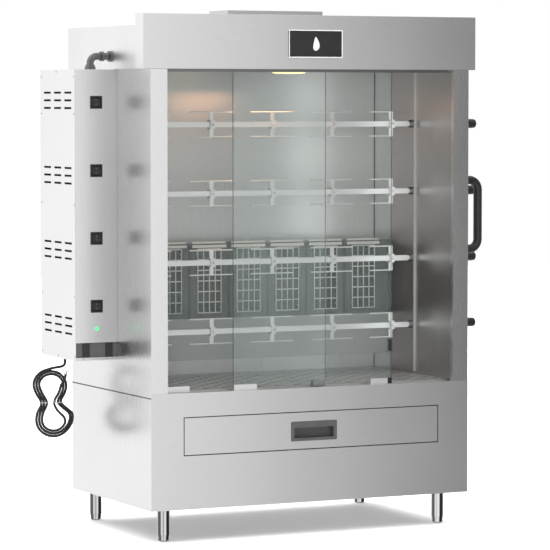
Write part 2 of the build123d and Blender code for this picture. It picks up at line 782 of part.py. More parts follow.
# Two lobes pinched at the waist, three turns wide
upper_lobe = (left - 152.0, 492.0, 65.0)
lower_lobe = (left - 137.5, 387.5, 72.5)
waist = (left - 148.0, 436.0, 40.0)
hank_band = 29.0
hank_thick = 22.0
with BuildPart() as cord_hank:
    with BuildSketch(Plane.XZ.offset(-cord_y - hank_thick / 2)) as hank_outline:
        for x, z, radius in (upper_lobe, lower_lobe):
            with Locations((x, z)):
                Circle(radius)
        with Locations((waist[0], waist[1])):
            Rectangle(2 * waist[2], 56)
        for x, z, radius in (upper_lobe, lower_lobe):
            with Locations((x, z)):
                Circle(radius - hank_band, mode=Mode.SUBTRACT)
    extrude(amount=hank_thick)
save(cord_hank, "cord_hank")
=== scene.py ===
from math import cos, pi, radians, sin, tau

import bmesh
import bpy
from mathutils import Matrix, Vector


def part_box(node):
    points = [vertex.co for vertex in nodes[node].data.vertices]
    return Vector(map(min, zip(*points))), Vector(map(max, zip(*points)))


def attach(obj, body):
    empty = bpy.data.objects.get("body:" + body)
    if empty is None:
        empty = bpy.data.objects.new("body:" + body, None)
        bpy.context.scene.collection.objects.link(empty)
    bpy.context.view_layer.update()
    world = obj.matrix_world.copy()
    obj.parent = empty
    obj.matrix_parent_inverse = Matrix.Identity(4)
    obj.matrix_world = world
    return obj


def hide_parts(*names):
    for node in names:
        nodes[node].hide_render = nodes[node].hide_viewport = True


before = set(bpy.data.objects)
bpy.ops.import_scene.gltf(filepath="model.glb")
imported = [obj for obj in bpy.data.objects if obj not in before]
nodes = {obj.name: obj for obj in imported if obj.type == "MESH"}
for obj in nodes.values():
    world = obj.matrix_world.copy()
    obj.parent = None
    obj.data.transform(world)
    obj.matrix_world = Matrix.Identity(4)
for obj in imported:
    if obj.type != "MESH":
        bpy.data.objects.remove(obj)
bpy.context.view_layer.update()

# Looks of the upright rotisserie oven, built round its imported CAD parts. Metres, +Z up,
# +X to the right as seen from the front, +Y to the back.

shell_low, shell_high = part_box("base_shell")
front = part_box("base_front_panel")[0].y
left = shell_low.x
right = shell_high.x
back = shell_high.y
middle = (left + right) / 2


# -------------------- node helpers
class Shader:
    """A material with a Principled shader, and short calls that add and link its nodes."""

    def __init__(self, name, color, roughness, metallic=0.0):
        self.material = bpy.data.materials.new(name)
        self.material.use_nodes = True
        self.tree = self.material.node_tree
        self.main = self.tree.nodes["Principled BSDF"]
        self.set("Base Color", (*color, 1.0))
        self.set("Roughness", roughness)
        self.set("Metallic", metallic)

    def set(self, socket, value):
        self.main.inputs[socket].default_value = value

    def add(self, kind, **values):
        """A new node. A value named after an input sets it, and any other is the node's own setting."""
        node = self.tree.nodes.new(kind)
        for name, value in values.items():
            label = name.replace("_", " ")
            if label in node.inputs:
                node.inputs[label].default_value = value
            else:
                setattr(node, name, value)
        return node

    def link(self, source, target):
        self.tree.links.new(source, target)

    def coordinates(self, scale):
        """Places on the object in metres, times a scale for each axis, or one number for all."""
        if isinstance(scale, float):
            scale = (scale, scale, scale)
        place = self.add("ShaderNodeTexCoord")
        mapping = self.add("ShaderNodeMapping", Scale=scale)
        self.link(place.outputs["Object"], mapping.inputs["Vector"])
        return mapping.outputs["Vector"]

    def axis(self, name):
        """One of the object's own coordinates, in metres."""
        place = self.add("ShaderNodeTexCoord")
        split = self.add("ShaderNodeSeparateXYZ")
        self.link(place.outputs["Object"], split.inputs["Vector"])
        return split.outputs[name]

    def noise(self, scale, detail=3.0, roughness=0.5):
        """Noise from 0 to 1 whose cells are stretched by the scale of each axis."""
        node = self.add("ShaderNodeTexNoise", Scale=1.0, Detail=detail, Roughness=roughness)
        self.link(self.coordinates(scale), node.inputs["Vector"])
        return node.outputs["Fac"]

    def spread(self, value, low, high, start=0.3, end=0.7):
        """Maps a value between start and end to one between low and high."""
        node = self.add("ShaderNodeMapRange", From_Min=start, From_Max=end, To_Min=low, To_Max=high)
        self.link(value, node.inputs["Value"])
        return node.outputs["Result"]

    def mix(self, factor, first, second):
        """A colour between two others."""
        node = self.add("ShaderNodeMix", data_type="RGBA")
        self.link(factor, node.inputs["Factor"])
        node.inputs[6].default_value = (*first, 1.0)
        node.inputs[7].default_value = (*second, 1.0)
        return node.outputs[2]

    def math(self, operation, first, second=0.0):
        """One sum on two values, each a socket or a number."""
        node = self.add("ShaderNodeMath", operation=operation)
        for value, target in ((first, node.inputs[0]), (second, node.inputs[1])):
            if isinstance(value, (int, float)):
                target.default_value = value
            else:
                self.link(value, target)
        return node.outputs["Value"]

    def bump(self, height, distance, strength=0.4):
        node = self.add("ShaderNodeBump", Distance=distance, Strength=strength)
        self.link(height, node.inputs["Height"])
        self.link(node.outputs["Normal"], self.main.inputs["Normal"])

    def to(self, source, socket):
        self.link(source, self.main.inputs[socket])


def grey(level):
    """A neutral colour."""
    return (level, level, level)


def tinted(color, factor):
    """A colour made lighter or darker."""
    return tuple(min(1.0, channel * factor) for channel in color)


def fill_ramp(node, stops):
    """Sets a colour ramp to greys, each stop a (position, level) pair."""
    elements = node.color_ramp.elements
    while len(elements) < len(stops):
        elements.new(0.5)
    for element, (position, level) in zip(elements, stops):
        element.position = position
        element.color = (level, level, level, 1.0)


def put_in_scene(name, data):
    """A new object in the scene, with the data given."""
    made = bpy.data.objects.new(name, data)
    bpy.context.scene.collection.objects.link(made)
    return made


# -------------------- materials
def brushed(name, color, roughness, along, contrast=0.05, depth=0.00004):
    """Satin sheet metal, its grain brushed along one axis."""
    shader = Shader(name, color, roughness, metallic=1.0)
    fine = [1400.0, 1400.0, 1400.0]
    fine[along] = 14.0
    grain = shader.noise(fine, detail=2.0)
    clouds = shader.noise(2.2, detail=2.0)
    both = shader.math("ADD", shader.math("MULTIPLY", grain, 0.6), shader.math("MULTIPLY", clouds, 0.4))
    light = shader.spread(both, 0.0, 1.0, start=0.35, end=0.65)
    shader.to(shader.mix(light, tinted(color, 1 - contrast), tinted(color, 1 + contrast)), "Base Color")
    shader.to(shader.spread(both, roughness - 0.035, roughness + 0.035), "Roughness")
    shader.bump(grain, depth, strength=0.25)
    return shader.material


def polished(name, color, roughness, metallic=1.0):
    """Bright turned or drawn steel with faint handling marks."""
    shader = Shader(name, color, roughness, metallic=metallic)
    marks = shader.noise((14.0, 30.0, 14.0), detail=2.0)
    shader.to(shader.spread(marks, roughness - 0.03, roughness + 0.04), "Roughness")
    shader.to(shader.mix(marks, tinted(color, 0.96), color), "Base Color")
    return shader.material


def chrome_painted_reflection(name):
    """Bright chrome tube with a painted reflection in its base colour: a white band down its middle and dark
    bands on both flanks, set by how squarely each point faces the view.
    """
    shader = Shader(name, grey(0.92), 0.16, metallic=1.0)
    # Painted reflection: the base colour follows how squarely the tube faces the view.
    weight = shader.add("ShaderNodeLayerWeight", Blend=0.5)
    ramp = shader.add("ShaderNodeValToRGB")
    fill_ramp(ramp, [(0.0, 0.84), (0.07, 0.70), (0.14, 0.09), (0.50, 0.14), (0.70, 0.55)])
    shader.link(weight.outputs["Facing"], ramp.inputs["Fac"])
    shader.to(ramp.outputs["Color"], "Base Color")
    marks = shader.noise(20.0, detail=2.0)
    shader.to(shader.spread(marks, 0.12, 0.2), "Roughness")
    return shader.material


def plastic(name, color, roughness, grain=900.0, depth=0.0001, gloss=0.5):
    """Moulded plastic with a fine spark-eroded texture."""
    shader = Shader(name, color, roughness)
    shader.set("Specular IOR Level", gloss)
    skin = shader.noise(grain, detail=2.0)
    wear = shader.noise(25.0, detail=4.0)
    shader.to(shader.mix(wear, color, tinted(color, 1.5)), "Base Color")
    shader.to(shader.spread(wear, roughness - 0.06, roughness + 0.06), "Roughness")
    shader.bump(skin, depth, strength=0.3)
    return shader.material


def rubber(name, color):
    """Dull cord rubber, dusty on its high spots."""
    shader = Shader(name, color, 0.5)
    dust = shader.noise(260.0, detail=4.0)
    shader.to(shader.mix(dust, color, tinted(color, 2.2)), "Base Color")
    shader.to(shader.spread(dust, 0.42, 0.6), "Roughness")
    shader.bump(dust, 0.0002, strength=0.3)
    return shader.material


glass_tint = (0.46, 0.57, 0.54)


def door_glass(name):
    """Pale green float glass. The ground edges are darker and let less through."""
    shader = Shader(name, glass_tint, 0.06)
    shader.set("IOR", 1.5)
    place = shader.add("ShaderNodeNewGeometry")
    split = shader.add("ShaderNodeSeparateXYZ")
    shader.link(place.outputs["True Normal"], split.inputs["Vector"])
    side = shader.math("ABSOLUTE", split.outputs["Y"])
    edge = shader.math("LESS_THAN", side, 0.5)
    shader.to(shader.mix(edge, glass_tint, (0.03, 0.05, 0.045)), "Base Color")
    smear = shader.noise((7.0, 7.0, 3.0), detail=3.0)
    veil = shader.spread(smear, 0.040, 0.052)
    shader.to(shader.math("MAXIMUM", veil, shader.math("MULTIPLY", edge, 0.85)), "Alpha")
    return shader.material


def burner_box(name, split_height):
    """Steel box of the burners: blackened by heat beside the flames, cleaner under them."""
    shader = Shader(name, (0.13, 0.13, 0.125), 0.45, metallic=1.0)
    clean = shader.math("LESS_THAN", shader.axis("Z"), split_height)
    grain = shader.noise((900.0, 900.0, 12.0), detail=2.0)
    soot = shader.spread(grain, 0.0, 1.0, start=0.35, end=0.65)
    dark = shader.mix(soot, (0.10, 0.10, 0.096), (0.17, 0.17, 0.163))
    both = shader.add("ShaderNodeMix", data_type="RGBA")
    shader.link(clean, both.inputs["Factor"])
    shader.link(dark, both.inputs[6])
    both.inputs[7].default_value = (0.40, 0.40, 0.395, 1.0)
    shader.to(both.outputs[2], "Base Color")
    shader.bump(grain, 0.00005, strength=0.25)
    return shader.material


def ceramic_tile(name):
    """Burner face: dark fired ceramic, drilled all over with fine holes."""
    shader = Shader(name, (0.05, 0.048, 0.046), 0.85)
    cells = shader.add("ShaderNodeTexVoronoi", Scale=1.0, Randomness=0.0)
    shader.link(shader.coordinates(330.0), cells.inputs["Vector"])
    wall = shader.spread(cells.outputs["Distance"], 0.0, 1.0, start=0.28, end=0.38)
    # The holes are painted darker than the walls between them: painted shade inside the holes, beside the
    # bump that gives them depth.
    shader.to(shader.mix(wall, (0.016, 0.015, 0.015), (0.070, 0.067, 0.064)), "Base Color")
    shader.bump(wall, 0.0006, strength=0.7)
    return shader.material


def clip_metal(name):
    """Satin aluminium. Where the clip runs behind the other pane it is painted darker grey, as painted shade.
    """
    shader = Shader(name, grey(0.95), 0.45, metallic=1.0)
    clip_reach = 0.06
    inner = shader.math("GREATER_THAN", shader.axis("X"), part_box("left_door_clips")[1].x - clip_reach)
    behind = shader.math("GREATER_THAN", shader.axis("Y"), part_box("right_door_clips")[1].y)
    # Painted shade: the clip is darker where it runs behind the other pane.
    painted_shade_behind_pane = shader.math("MULTIPLY", inner, behind)
    shader.to(shader.mix(painted_shade_behind_pane, grey(0.95), (0.36, 0.38, 0.37)), "Base Color")
    grain = shader.noise((14.0, 1200.0, 1200.0), detail=2.0)
    shader.to(shader.spread(grain, 0.40, 0.50), "Roughness")
    return shader.material


def track_metal(name):
    """Door tracks: bright metal at the sill, darker towards the top."""
    shader = Shader(name, grey(0.8), 0.4, metallic=1.0)
    top = shader.spread(shader.axis("Z"), 0.0, 1.0, start=0.8, end=1.2)
    shader.to(shader.mix(top, grey(0.88), (0.26, 0.26, 0.255)), "Base Color")
    grain = shader.noise((14.0, 1200.0, 1200.0), detail=2.0)
    shader.to(shader.spread(grain, 0.36, 0.44), "Roughness")
    return shader.material


def service_panel(name):
    """Charcoal strip under the switches, with two blacker blocks standing out of it."""
    shader = Shader(name, grey(0.085), 0.5)
    block_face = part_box("service_strip")[0].y + 0.0015
    block = shader.math("LESS_THAN", shader.axis("Y"), block_face)
    shader.to(shader.mix(block, grey(0.085), grey(0.018)), "Base Color")
    skin = shader.noise(1100.0, detail=2.0)
    shader.to(shader.spread(skin, 0.42, 0.58), "Roughness")
    shader.bump(skin, 0.0001, strength=0.3)
    return shader.material


def glowing(name, color, strength, ribs):
    """A lit lens with straight ribs pressed in it."""
    shader = Shader(name, color, 0.25)
    shader.set("Emission Strength", strength)
    rib = shader.add("ShaderNodeTexWave", Scale=1.0, Distortion=0.0)
    shader.link(shader.coordinates(ribs), rib.inputs["Vector"])
    shader.to(shader.mix(rib.outputs["Fac"], tinted(color, 0.86), color), "Emission Color")
    shader.bump(rib.outputs["Fac"], 0.0004, strength=0.5)
    return shader.material


def mineral_wool(name):
    """Matted yellow-grey fibres."""
    shader = Shader(name, (0.52, 0.46, 0.28), 0.95)
    fibres = shader.noise((160.0, 160.0, 1200.0), detail=6.0, roughness=0.7)
    shader.to(shader.mix(fibres, (0.36, 0.31, 0.17), (0.66, 0.60, 0.40)), "Base Color")
    shader.bump(fibres, 0.003, strength=0.8)
    return shader.material


def enamel(name, color):
    """Hammered paint on the gear motors."""
    shader = Shader(name, color, 0.45)
    dimples = shader.add("ShaderNodeTexVoronoi", Scale=1.0)
    shader.link(shader.coordinates(300.0), dimples.inputs["Vector"])
    shader.to(shader.mix(dimples.outputs["Distance"], tinted(color, 0.8), tinted(color, 1.2)), "Base Color")
    shader.bump(dimples.outputs["Distance"], 0.0003, strength=0.5)
    return shader.material


# The axis that a sheet's grain runs along
ALONG_X = 0
ALONG_Z = 2

steel = grey(0.83)
guard_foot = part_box("burner_guards")[0].z - 0.018     # where the burner boxes' sooty part ends
looks = {}


def add_look(make, name, *values, **settings):
    """Makes a material and keeps it under its name."""
    looks[name] = make(name, *values, **settings)


add_look(brushed, "front_steel", steel, 0.36, ALONG_X)
add_look(brushed, "side_steel", steel, 0.36, ALONG_Z)
add_look(brushed, "cover_steel", grey(0.86), 0.42, ALONG_Z, contrast=0.03)
add_look(brushed, "liner_steel", (0.62, 0.615, 0.61), 0.30, ALONG_Z, contrast=0.07)
add_look(brushed, "flue_steel", grey(0.62), 0.36, ALONG_Z)
add_look(brushed, "plain_steel", grey(0.52), 0.40, ALONG_X, contrast=0.08)
add_look(burner_box, "housing_steel", guard_foot)
add_look(polished, "wire_steel", (0.66, 0.66, 0.64), 0.40, metallic=0.6)
add_look(polished, "spit_steel", (0.80, 0.81, 0.81), 0.36, metallic=0.8)
add_look(brushed, "floor_steel", (0.78, 0.78, 0.775), 0.42, ALONG_X, contrast=0.05)
add_look(track_metal, "track_metal")
add_look(clip_metal, "clip_metal")
add_look(polished, "screw_steel", grey(0.60), 0.30)
add_look(plastic, "seam_dark", grey(0.030), 0.5)
add_look(chrome_painted_reflection, "leg_steel")
add_look(plastic, "pale_trim", (0.52, 0.52, 0.515), 0.35, grain=400.0, depth=0.00003)
add_look(polished, "bush_metal", grey(0.30), 0.42)
add_look(plastic, "black_grip", grey(0.012), 0.36)
add_look(plastic, "pull_plastic", grey(0.055), 0.45)
add_look(plastic, "black_rocker", grey(0.014), 0.28)
add_look(plastic, "plate_face", grey(0.016), 0.42, gloss=0.22)
add_look(service_panel, "dark_strip")
add_look(door_glass, "door_glass")
add_look(ceramic_tile, "burner_ceramic")
add_look(enamel, "motor_housing", (0.06, 0.065, 0.07))
add_look(mineral_wool, "insulation")
add_look(glowing, "lamp_glass", (1.0, 0.86, 0.42), 1.1, 900.0)
add_look(glowing, "green_lens", (0.07, 0.74, 0.22), 0.8, 1500.0)
add_look(rubber, "cord_rubber", grey(0.010))
add_look(plastic, "tie_wire", grey(0.42), 0.4)
add_look(polished, "bare_wire", (0.72, 0.72, 0.70), 0.30)
add_look(plastic, "mark_paint", grey(0.10), 0.5)
add_look(polished, "conduit_metal", grey(0.20), 0.26)
add_look(brushed, "wall_steel", steel, 0.28, ALONG_Z)
# The hood strips' pale warm tint is a painted warm reflection.
add_look(polished, "hood_trim", (0.62, 0.605, 0.575), 0.6, metallic=0.15)
# Near-black look for the sheet under the slotted plate, as painted shade.
add_look(plastic, "grease", (0.016, 0.015, 0.014), 0.5, grain=200.0, depth=0.0005, gloss=0.2)

node_looks = {
    "front_steel": ["base_front_panel", "drawer_front", "hood_fascia"],
    "side_steel": ["rear_outer_panel", "hood_body", "control_box_body"],
    "wall_steel": ["base_shell", "left_outer_panel", "right_outer_panel"],
    "flue_steel": ["flue_collar"],
    "cover_steel": ["side_cover"],
    "liner_steel": ["cavity_liner", "ceiling_panel", "lamp_housing"],
    "plain_steel": ["drawer_tray", "drawer_runners", "gas_manifold"],
    "housing_steel": ["burner_housing"],
    "spit_steel": [f"spit_{number}_{part}" for number in range(1, 5) for part in ("bar", "forks")],
    "leg_steel": ["leg_tubes", "levelling_feet"],
    "clip_metal": ["left_door_clips", "right_door_clips"],
    "track_metal": ["door_tracks"],
    "bush_metal": ["spit_bushes"],
    "conduit_metal": ["conduit"],
    "black_grip": ["right_door_grip", "side_handle", "switch_bezels"]
                  + [f"spit_{number}_grip" for number in range(1, 5)],
    "pull_plastic": ["drawer_pull"],
    "black_rocker": [f"rocker_{number}" for number in range(1, 5)],
    "plate_face": ["nameplate"],
    "dark_strip": ["service_strip"],
    "door_glass": ["left_door_glass", "right_door_glass"],
    "burner_ceramic": ["burners"],
    "motor_housing": ["spit_motors"],
    "insulation": ["insulation_panels"],
    "green_lens": ["indicator_lamp"],
}


def paint_nodes():
    """Gives each CAD node that stays its own look."""
    for look, names in node_looks.items():
        for name in names:
            mesh = nodes[name].data
            mesh.materials.clear()
            mesh.materials.append(looks[look])


# -------------------- mesh helpers
def add_block(mesh, low, high):
    """A box between two corners."""
    size = Vector(high) - Vector(low)
    centre = (Vector(high) + Vector(low)) / 2
    place = Matrix.Translation(centre) @ Matrix.Diagonal((*size, 1.0))
    bmesh.ops.create_cube(mesh, size=1.0, matrix=place)


def ring(mesh, centre, radius, across, up, count):
    """A circle of vertices in the plane of two directions."""
    places = []
    for index in range(count):
        angle = tau * index / count
        places.append(mesh.verts.new(centre + radius * (cos(angle) * across + sin(angle) * up)))
    return places


def join_rings(mesh, rings, closed=False):
    """Skins a row of rings, and caps both ends unless they go round."""
    count = len(rings[0])
    pairs = list(zip(rings, rings[1:]))
    if closed:
        pairs.append((rings[-1], rings[0]))
    for near, far in pairs:
        for index in range(count):
            after = (index + 1) % count
            mesh.faces.new((near[index], near[after], far[after], far[index]))
    if not closed:
        mesh.faces.new(list(reversed(rings[0])))
        mesh.faces.new(rings[-1])


def frame_of(direction):
    """Two directions at right angles to a third and to each other."""
    forward = Vector(direction).normalized()
    helper = Vector((0, 0, 1)) if abs(forward.z) < 0.9 else Vector((1, 0, 0))
    across = forward.cross(helper).normalized()
    return across, across.cross(forward).normalized()


def add_turned(mesh, origin, direction, profile, count=24):
    """A turned solid: its profile gives (distance along, radius) pairs."""
    across, up = frame_of(direction)
    forward = Vector(direction).normalized()
    rings = []
    for along, radius in profile:
        rings.append(ring(mesh, Vector(origin) + forward * along, radius, across, up, count))
    join_rings(mesh, rings)


def add_tube(mesh, points, radius, count=8, closed=False):
    """A round wire through a row of points."""
    places = [Vector(point) for point in points]
    rings = []
    for index, place in enumerate(places):
        before = places[index - 1] if index or closed else place
        after = places[(index + 1) % len(places)] if closed or index < len(places) - 1 else place
        across, up = frame_of(after - before)
        rings.append(ring(mesh, place, radius, across, up, count))
    join_rings(mesh, rings, closed)


def piece(mesh, name, look, body="root", smooth=True, bevel=0.0, stands_for=()):
    """Turns a bmesh into a finished piece that rides on a body."""
    bmesh.ops.recalc_face_normals(mesh, faces=mesh.faces)
    data = bpy.data.meshes.new(name)
    mesh.to_mesh(data)
    mesh.free()
    made = put_in_scene(name, data)
    data.materials.append(looks[look])
    if bevel:
        rounding = made.modifiers.new("rounding", "BEVEL")
        rounding.width = bevel
        rounding.segments = 2
        rounding.limit_method = "ANGLE"
    if smooth:
        data.shade_smooth()
        data.set_sharp_from_angle(angle=radians(35))
    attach(made, body)
    if stands_for:
        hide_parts(*stands_for)
    return made


def centre_of(corners):
    """Middle of a CAD node's box, from its two corners."""
    low, high = corners
    return (low + high) / 2


# -------------------- power cord
cord_radius = 0.0045
cord_pitch = 0.0096                        # from one turn of the hank to the next
last_turn = 2                              # the turns are 0, 1 and 2, from the outside in
gland_low, gland_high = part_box("cord_gland")
cord_x = (gland_low.x + gland_high.x) / 2
cord_y = (gland_low.y + gland_high.y) / 2
hank_low, hank_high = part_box("cord_hank")

# The same route that the CAD lead takes, as (x, z)
lead_route = [
    (cord_x, 0.577), (cord_x, 0.5685), (cord_x - 0.0065, 0.561), (cord_x - 0.019, 0.5575),
    (cord_x - 0.036, 0.5565), (cord_x - 0.054, 0.5535),
]

upper_radius = 0.065
lower_radius = 0.0725
upper_lobe = Vector((hank_low.x + upper_radius, 0, hank_high.z - upper_radius))
lower_lobe = Vector((hank_high.x - lower_radius, 0, hank_low.z + lower_radius))
waist = Vector((upper_lobe.x + 0.004, 0, 0.436))
polygon_share = 0.94                       # a spline's distance from the centre over its points' distance


def on_lobe(centre, radius, degrees):
    """A control point that puts the cord on a circle round a lobe's centre."""
    angle = radians(degrees)
    reach = radius / polygon_share
    return centre + Vector((reach * cos(angle), 0, reach * sin(angle)))


def hank_turn(turn):
    """Control points of one turn: down the left side of both lobes, then up the right side.

    They are angles round each lobe, and distances from the waist.
    """
    inward = turn * cord_pitch
    beside = turn * 0.0102                 # the turns lie further apart where they run up and down
    slanted = turn * 0.0115
    upper = upper_radius - cord_radius - inward
    lower = lower_radius - cord_radius - inward
    points = []
    if turn:
        points.append(on_lobe(upper_lobe, upper, 89.6))
    points += [on_lobe(upper_lobe, upper, 128.0), on_lobe(upper_lobe, upper, 166.3)]
    points[-1].x += (beside - inward) - 0.0020
    points.append(waist + Vector((slanted - 0.0560, 0, 0.0320)))
    points.append(waist + Vector((beside - 0.0304, 0, -0.0015)))
    points.append(waist + Vector((slanted - 0.0560, 0, -0.0365)))
    points += [on_lobe(lower_lobe, lower, degrees) for degrees in (210.0, 250.0, 290.0)]
    points[-3].x += (beside - inward) - 0.0015
    if turn == last_turn:
        points.append(on_lobe(lower_lobe, lower - 0.0015, 330.0))
        points.append(waist + Vector((0.0480, 0, -0.0500)))
        points.append(waist + Vector((0.0250, 0, -0.0330)))
        points.append(waist + Vector((0.0060, 0, 0.0010)))
        points.append(waist + Vector((0.0300, 0, 0.0340)))
    else:
        points.append(on_lobe(lower_lobe, lower, 330.0))
        points.append(on_lobe(lower_lobe, lower, 5.0))
        points.append(waist + Vector((0.0600 - slanted, 0, -0.0240)))
        points.append(waist + Vector((0.0290 - beside, 0, 0.0010)))
        points.append(waist + Vector((0.0540 - slanted, 0, 0.0335)))
        points.append(on_lobe(upper_lobe, upper - 0.15 * cord_pitch, 12.9))
        points.append(on_lobe(upper_lobe, upper - 0.60 * cord_pitch, 51.3))
    return [Vector((point.x, cord_y, point.z)) for point in points]


def cord_end():
    """The inner turn's end climbs in front of the other two and stands out at the upper right."""
    return [
        Vector((upper_lobe.x + 0.0385, cord_y - 0.003, upper_lobe.z + 0.002)),
        Vector((upper_lobe.x + 0.0445, cord_y - 0.010, upper_lobe.z + 0.014)),
        Vector((upper_lobe.x + 0.0505, cord_y - 0.0125, upper_lobe.z + 0.027)),
        Vector((upper_lobe.x + 0.0540, cord_y - 0.0105, upper_lobe.z + 0.040)),
    ]


def curve_through(name, points, radius, look):
    """An open curve with a round section, on one smooth NURBS spline."""
    curve = bpy.data.curves.new(name, "CURVE")
    curve.dimensions = "3D"
    spline = curve.splines.new("NURBS")
    spline.points.add(len(points) - 1)
    for point, place in zip(spline.points, points):
        point.co = (*place, 1.0)
    spline.order_u = 3
    spline.use_endpoint_u = True
    spline.resolution_u = 8
    curve.bevel_depth = radius
    curve.bevel_resolution = 4
    curve.use_fill_caps = True
    curve.materials.append(looks[look])
    return put_in_scene(name, curve)


def cord_tie():
    """A wire tie drawn round the hank's waist."""
    mesh = bmesh.new()
    reach_x = 0.0425
    reach_y = cord_radius + 0.0016
    squareness = 1.35                      # 1 would be an ellipse, and more flattens its sides
    wobble = 0.001
    steps = 48
    points = []
    for step in range(steps):
        angle = tau * step / steps
        x = max(-1.0, min(1.0, squareness * cos(angle)))
        y = max(-1.0, min(1.0, squareness * sin(angle)))
        points.append((waist.x + reach_x * x, cord_y + reach_y * y, waist.z + wobble * sin(2 * angle)))
    add_tube(mesh, points, 0.0011, count=6, closed=True)
    twist = Vector((waist.x + 0.002, cord_y - reach_y - 0.0008, waist.z))
    bends = [Vector((0, 0, 0)), Vector((0.003, -0.002, 0.004)), Vector((0.006, -0.002, 0.009))]
    add_tube(mesh, [twist + bend for bend in bends], 0.0009)
    return piece(mesh, "cord_tie", "tie_wire")


def cord_wires(end):
    """Three stripped cores fanned out of the cord's end."""
    mesh = bmesh.new()
    for lean, bend in ((-0.009, 0.002), (0.0005, -0.003), (0.0095, 0.0015)):
        start = end + Vector((lean * 0.25, 0, -0.003))
        middle_point = end + Vector((lean * 0.6, bend, 0.006))
        tip = end + Vector((lean, bend * 1.5, 0.017))
        add_tube(mesh, [start, middle_point, tip], 0.0017, count=8)
    return piece(mesh, "cord_wires", "bare_wire")


def strain_relief():
    """Tapered rubber boot with ribs, under the control box."""
    mesh = bmesh.new()
    top = gland_high.z
    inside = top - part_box("control_box_body")[0].z
    whole = top - gland_low.z
    plug_radius = 0.0066
    flange_radius = 0.0099
    tail_radius = 0.0074
    tip_radius = 0.0054
    point = 0.0001                         # closes an end
    start = inside + 0.005
    profile = [(0.0, point), (0.0, plug_radius), (inside, plug_radius), (inside, flange_radius)]
    profile += [(start, flange_radius), (start, tail_radius)]
    length = whole - start
    ribs = 4
    for rib in range(ribs):
        near = start + length * (rib + 0.35) / ribs
        far = start + length * (rib + 0.75) / ribs
        radius = tail_radius - (tail_radius - tip_radius) * (rib + 0.5) / ribs
        profile += [(near, radius), (near, radius - 0.0011), (far, radius - 0.0012), (far, radius - 0.0002)]
    profile += [(whole, tip_radius), (whole, point)]
    add_turned(mesh, (cord_x, cord_y, top), (0, 0, -1), profile, count=28)
    return piece(mesh, "strain_relief", "cord_rubber", stands_for=["cord_gland"])


def power_cord():
    """The lead, three turns of the hank and the loose end, all on one spline."""
    drawn_radius = 1.03 * cord_radius      # the section has flat sides, inside its radius
    points = [Vector((x, cord_y, z)) for x, z in lead_route]
    for turn in range(last_turn + 1):
        points += hank_turn(turn)
    points += cord_end()
    cord = curve_through("power_cord_whole", points, drawn_radius, "cord_rubber")
    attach(cord, "root")
    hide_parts("power_cord", "cord_hank")
    boot = strain_relief()
    tie = cord_tie()
    wires = cord_wires(points[-1])


# -------------------- floor plate of the oven
def slot_cell(mesh, centre, half, hole, top, bottom):
    """One rectangle of the plate with an upright-walled slot through it."""
    sides = 6
    corner = hole.x
    straight = hole.y - corner
    rim = []
    for end, start_angle in ((1, 0.0), (-1, pi)):
        for step in range(sides + 1):
            angle = start_angle + pi * step / sides
            rim.append((centre.x + corner * cos(angle), centre.y + end * straight + corner * sin(angle)))
    outer = []
    tiny = 1e-9
    for x, y in rim:
        dx = x - centre.x
        dy = y - centre.y
        grow = min(half.x / max(abs(dx), tiny), half.y / max(abs(dy), tiny))
        outer.append((centre.x + dx * grow, centre.y + dy * grow))
    quarters = ((1, 1), (-1, 1), (-1, -1), (1, -1))
    corners = [(centre.x + side * half.x, centre.y + end * half.y) for side, end in quarters]
    count = len(rim)
    inner_top = [mesh.verts.new((x, y, top)) for x, y in rim]
    inner_low = [mesh.verts.new((x, y, bottom)) for x, y in rim]
    outer_top = [mesh.verts.new((x, y, top)) for x, y in outer]
    for index in range(count):
        after = (index + 1) % count
        mesh.faces.new((inner_top[index], outer_top[index], outer_top[after], inner_top[after]))
        mesh.faces.new((inner_top[index], inner_top[after], inner_low[after], inner_low[index]))
        ax, ay = outer[index]
        bx, by = outer[after]
        if abs(ax - bx) > 1e-6 and abs(ay - by) > 1e-6:
            between = Vector(((ax + bx) / 2, (ay + by) / 2))
            near = min(corners, key=lambda corner: (Vector(corner) - between).length)
            tip = mesh.verts.new((*near, top))
            mesh.faces.new((outer_top[index], tip, outer_top[after]))


def floor_plate():
    """Lift-out drip plate: staggered slots that run front to back, in a folded tray."""
    mesh = bmesh.new()
    low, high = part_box("floor_grate")
    top = high.z
    bottom = top - 0.002
    border = 0.014
    pitch_x = 0.0340
    pitch_y = 0.0640
    width = high.x - low.x - 2 * border
    depth = high.y - low.y - 2 * border
    columns = round(width / pitch_x)
    rows = round(depth / pitch_y)
    step_x = width / columns
    step_y = depth / rows
    hole = Vector((0.0095, 0.0170))
    half = Vector((step_x / 2, step_y / 2))
    for column in range(columns):
        x = low.x + border + step_x * (column + 0.5)
        shift = 0.0 if column % 2 else step_y / 2
        for row in range(rows + (1 if shift else 0)):
            y = low.y + border + step_y * (row + 0.5) - shift
            if shift and row in (0, rows):
                near = y - half.y if row else low.y + border
                far = near + half.y
                corners = [(x - half.x, near), (x + half.x, near), (x + half.x, far), (x - half.x, far)]
                mesh.faces.new([mesh.verts.new((*corner, top)) for corner in corners])
                continue
            slot_cell(mesh, Vector((x, y)), half, hole, top, bottom)
    add_block(mesh, (low.x, low.y, low.z), (low.x + border, high.y, top))
    add_block(mesh, (high.x - border, low.y, low.z), (high.x, high.y, top))
    add_block(mesh, (low.x + border, low.y, low.z), (high.x - border, low.y + border, top))
    add_block(mesh, (low.x + border, high.y - border, low.z), (high.x - border, high.y, top))
    stands_for = ["floor_grate"]
    return piece(mesh, "slotted_floor", "floor_steel", smooth=False, stands_for=stands_for)


